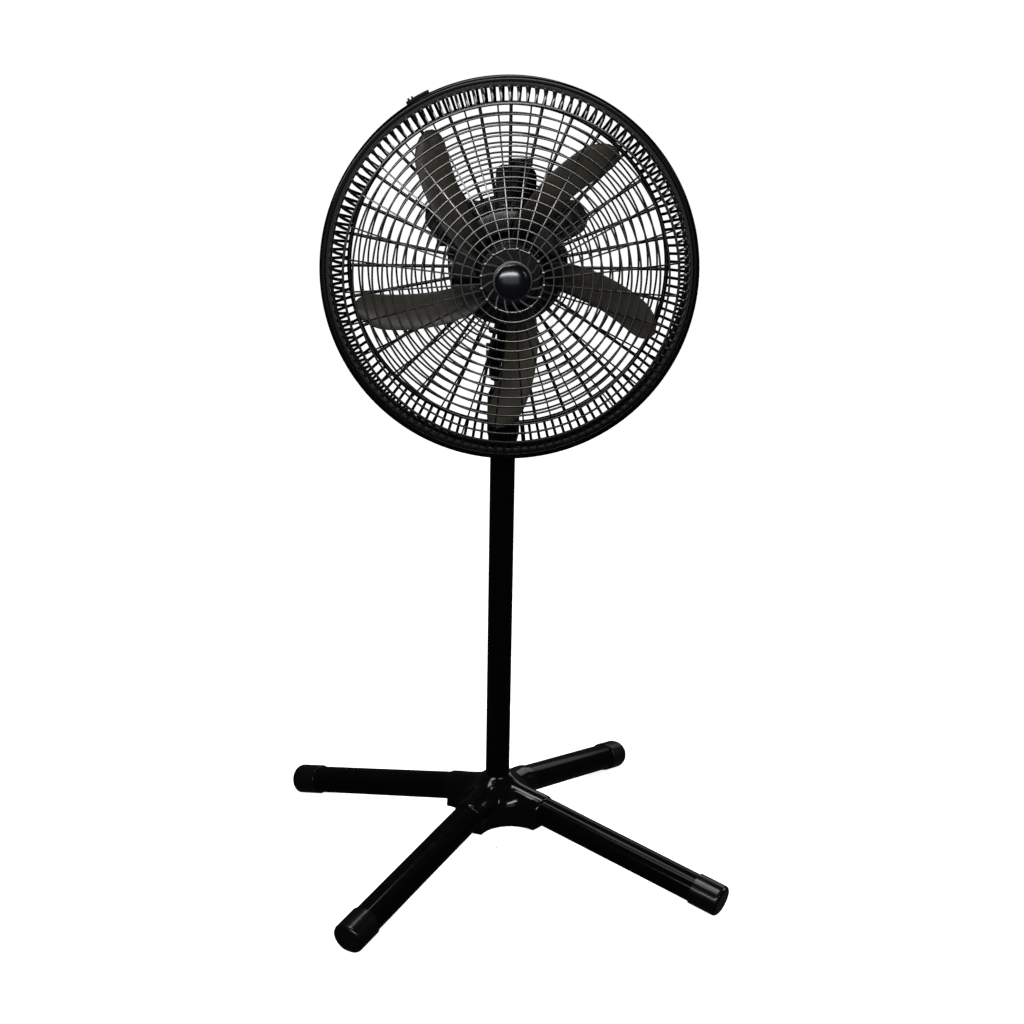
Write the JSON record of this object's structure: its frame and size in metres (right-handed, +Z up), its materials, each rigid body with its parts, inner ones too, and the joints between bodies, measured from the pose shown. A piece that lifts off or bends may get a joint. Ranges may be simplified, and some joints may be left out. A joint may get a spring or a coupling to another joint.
{
  "type": "pedestal fan",
  "caption": "Black pedestal fan with a cross base, a telescopic pole, and a tilting, swinging head whose curved-blade impeller turns inside a round guard.",
  "frame": {"origin": "on the floor under the pole's axis", "axes": "+Z up along the pole, the head faces -Y at rest, +X to the right seen from the front"},
  "size_m": [0.5862, 0.5862, 1.023],
  "materials": {
    "black_plastic": "gloss black moulding",
    "black_paint": "gloss black paint",
    "cap_plastic": "satin black",
    "knob_plastic": "satin black",
    "band_plastic": "gloss black",
    "guard_plastic": "gloss black",
    "badge_plastic": "gloss blue-black",
    "blade_plastic": "gloss smoke brown",
    "natural_plastic": "natural moulding",
    "rubber_black": "matt",
    "zinc_steel": "zinc plated",
    "chrome_tube": "plated",
    "cast_alloy": "as cast",
    "lamination": "stacked sheets",
    "copper_wire": "enamelled wire",
    "bronze": "sintered"
  },
  "bodies": {
    "stand": {"base_hub": "black_plastic", "leg_1": "black_paint", "leg_2": "black_paint", "leg_3": "black_paint", "leg_4": "black_paint", "foot_cap_1": "cap_plastic", "foot_cap_2": "cap_plastic", "foot_cap_3": "cap_plastic", "foot_cap_4": "cap_plastic", "leg_screws": "zinc_steel", "pole_plug": "zinc_steel", "pole_bolt": "zinc_steel", "pole_washer": "zinc_steel", "outer_tube": "black_paint", "height_collar": "black_plastic", "collar_bush": "natural_plastic"},
    "clamp": {"collar_knob": "knob_plastic"},
    "mast": {"inner_tube": "chrome_tube", "guide_bush": "natural_plastic", "neck_socket": "black_plastic", "neck_screw": "zinc_steel", "tilt_bolt": "zinc_steel", "tilt_nut": "knob_plastic"},
    "bracket": {"swivel_bracket": "black_plastic", "pivot_clip": "zinc_steel"},
    "link": {"link_arm": "zinc_steel"},
    "head": {"motor_frame": "cast_alloy", "front_shield": "cast_alloy", "stator_core": "lamination", "windings": "copper_wire", "motor_screws": "zinc_steel", "front_bearing": "bronze", "rear_bearing": "bronze", "gearbox_frame": "cast_alloy", "rear_casing": "black_plastic", "front_casing": "black_plastic", "casing_screws": "zinc_steel", "speed_switch": "natural_plastic", "capacitor": "natural_plastic", "cord_gland": "rubber_black", "rear_guard": "guard_plastic", "guard_nut": "knob_plastic", "guard_band": "band_plastic", "band_clip": "band_plastic", "band_screw": "zinc_steel", "front_guard": "guard_plastic", "badge": "badge_plastic"},
    "crank": {"crank": "zinc_steel"},
    "clutch": {"clutch_shaft": "zinc_steel"},
    "worm_wheel": {"worm_wheel": "natural_plastic"},
    "clutch_knob": {"clutch_knob": "knob_plastic"},
    "speed_knob": {"speed_knob": "knob_plastic"},
    "fan": {"impeller": "blade_plastic", "spinner_nut": "knob_plastic", "drive_pin": "zinc_steel", "motor_shaft": "zinc_steel", "rotor": "lamination"}
  },
  "joints": [
    {"name": "height_slide", "type": "slide", "parent": "stand", "child": "mast", "axis": [0, 0, 1], "range_m": [0, 0.2]},
    {"name": "clamp_turn", "type": "hinge", "parent": "stand", "child": "clamp", "pos_m": [0, 0.03, 0.62], "axis": [0, 1, 0], "range_deg": [0, 180]},
    {"name": "tilt", "type": "hinge", "parent": "mast", "child": "bracket", "pos_m": [0, 0, 0.69], "axis": [-1, 0, 0], "range_deg": [-10, 25]},
    {"name": "swing", "type": "hinge", "parent": "bracket", "child": "head", "pos_m": [0, 0, 0.77], "axis": [0, 0, 1], "range_deg": [-40, 40]},
    {"name": "link_swing", "type": "hinge", "parent": "bracket", "child": "link", "pos_m": [0.02, 0, 0.718], "axis": [0, 0, 1], "range_deg": [-40, 40]},
    {"name": "crank_turn", "type": "hinge", "parent": "head", "child": "crank", "pos_m": [0, 0.036, 0.723], "axis": [0, 0, 1], "range_deg": [-50, 50]},
    {"name": "clutch_turn", "type": "hinge", "parent": "head", "child": "clutch", "pos_m": [0.0178, 0.015, 0.765], "axis": [0, 0, 1], "range_deg": [-200, 200]},
    {"name": "spin", "type": "hinge", "parent": "head", "child": "fan", "pos_m": [0, -0.13, 0.803], "axis": [0, 1, 0], "continuous": true},
    {"name": "worm_wheel_turn", "type": "hinge", "parent": "head", "child": "worm_wheel", "pos_m": [0.0178, 0.015, 0.803], "axis": [0, 0, 1], "continuous": true},
    {"name": "clutch_pull", "type": "slide", "parent": "head", "child": "clutch_knob", "axis": [0, 0, 1], "range_m": [0, 0.006]},
    {"name": "speed_turn", "type": "hinge", "parent": "head", "child": "speed_knob", "pos_m": [0.079, 0.045, 0.851], "axis": [0, -1, 0], "range_deg": [0, 120]}
  ],
  "couplings": [
    {"joint": "link_swing", "follows": "swing", "ratio": 0.98},
    {"joint": "crank_turn", "follows": "swing", "ratio": -1.215},
    {"joint": "clutch_turn", "follows": "swing", "ratio": 4.86},
    {"joint": "worm_wheel_turn", "follows": "spin", "ratio": 0.033333}
  ]
}
